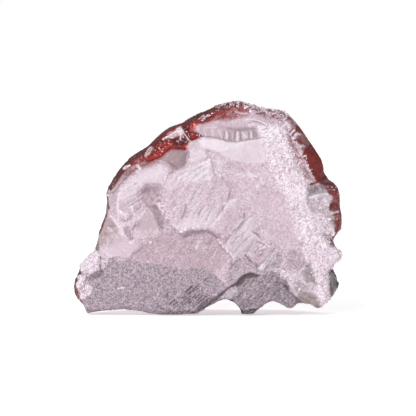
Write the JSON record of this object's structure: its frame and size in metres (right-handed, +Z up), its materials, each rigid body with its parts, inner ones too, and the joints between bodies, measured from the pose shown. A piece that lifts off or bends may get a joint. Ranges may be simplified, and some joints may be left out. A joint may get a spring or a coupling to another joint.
{
  "type": "red quartz specimen",
  "caption": "Broken lump of milky pink quartz with a thin red-brown skin, a sugary white band and a grey base, standing on its broken underside.",
  "frame": {"origin": "middle of the stone's bounding box, on the plane it stands on", "axes": "+X along the broken face to the right of someone looking at it, +Y from the broken face to the back, +Z up"},
  "size_m": [0.0674, 0.0324, 0.0535],
  "materials": {
    "quartz": "satin"
  },
  "bodies": {
    "root": {"red_quartz": "quartz"}
  },
  "joints": []
}
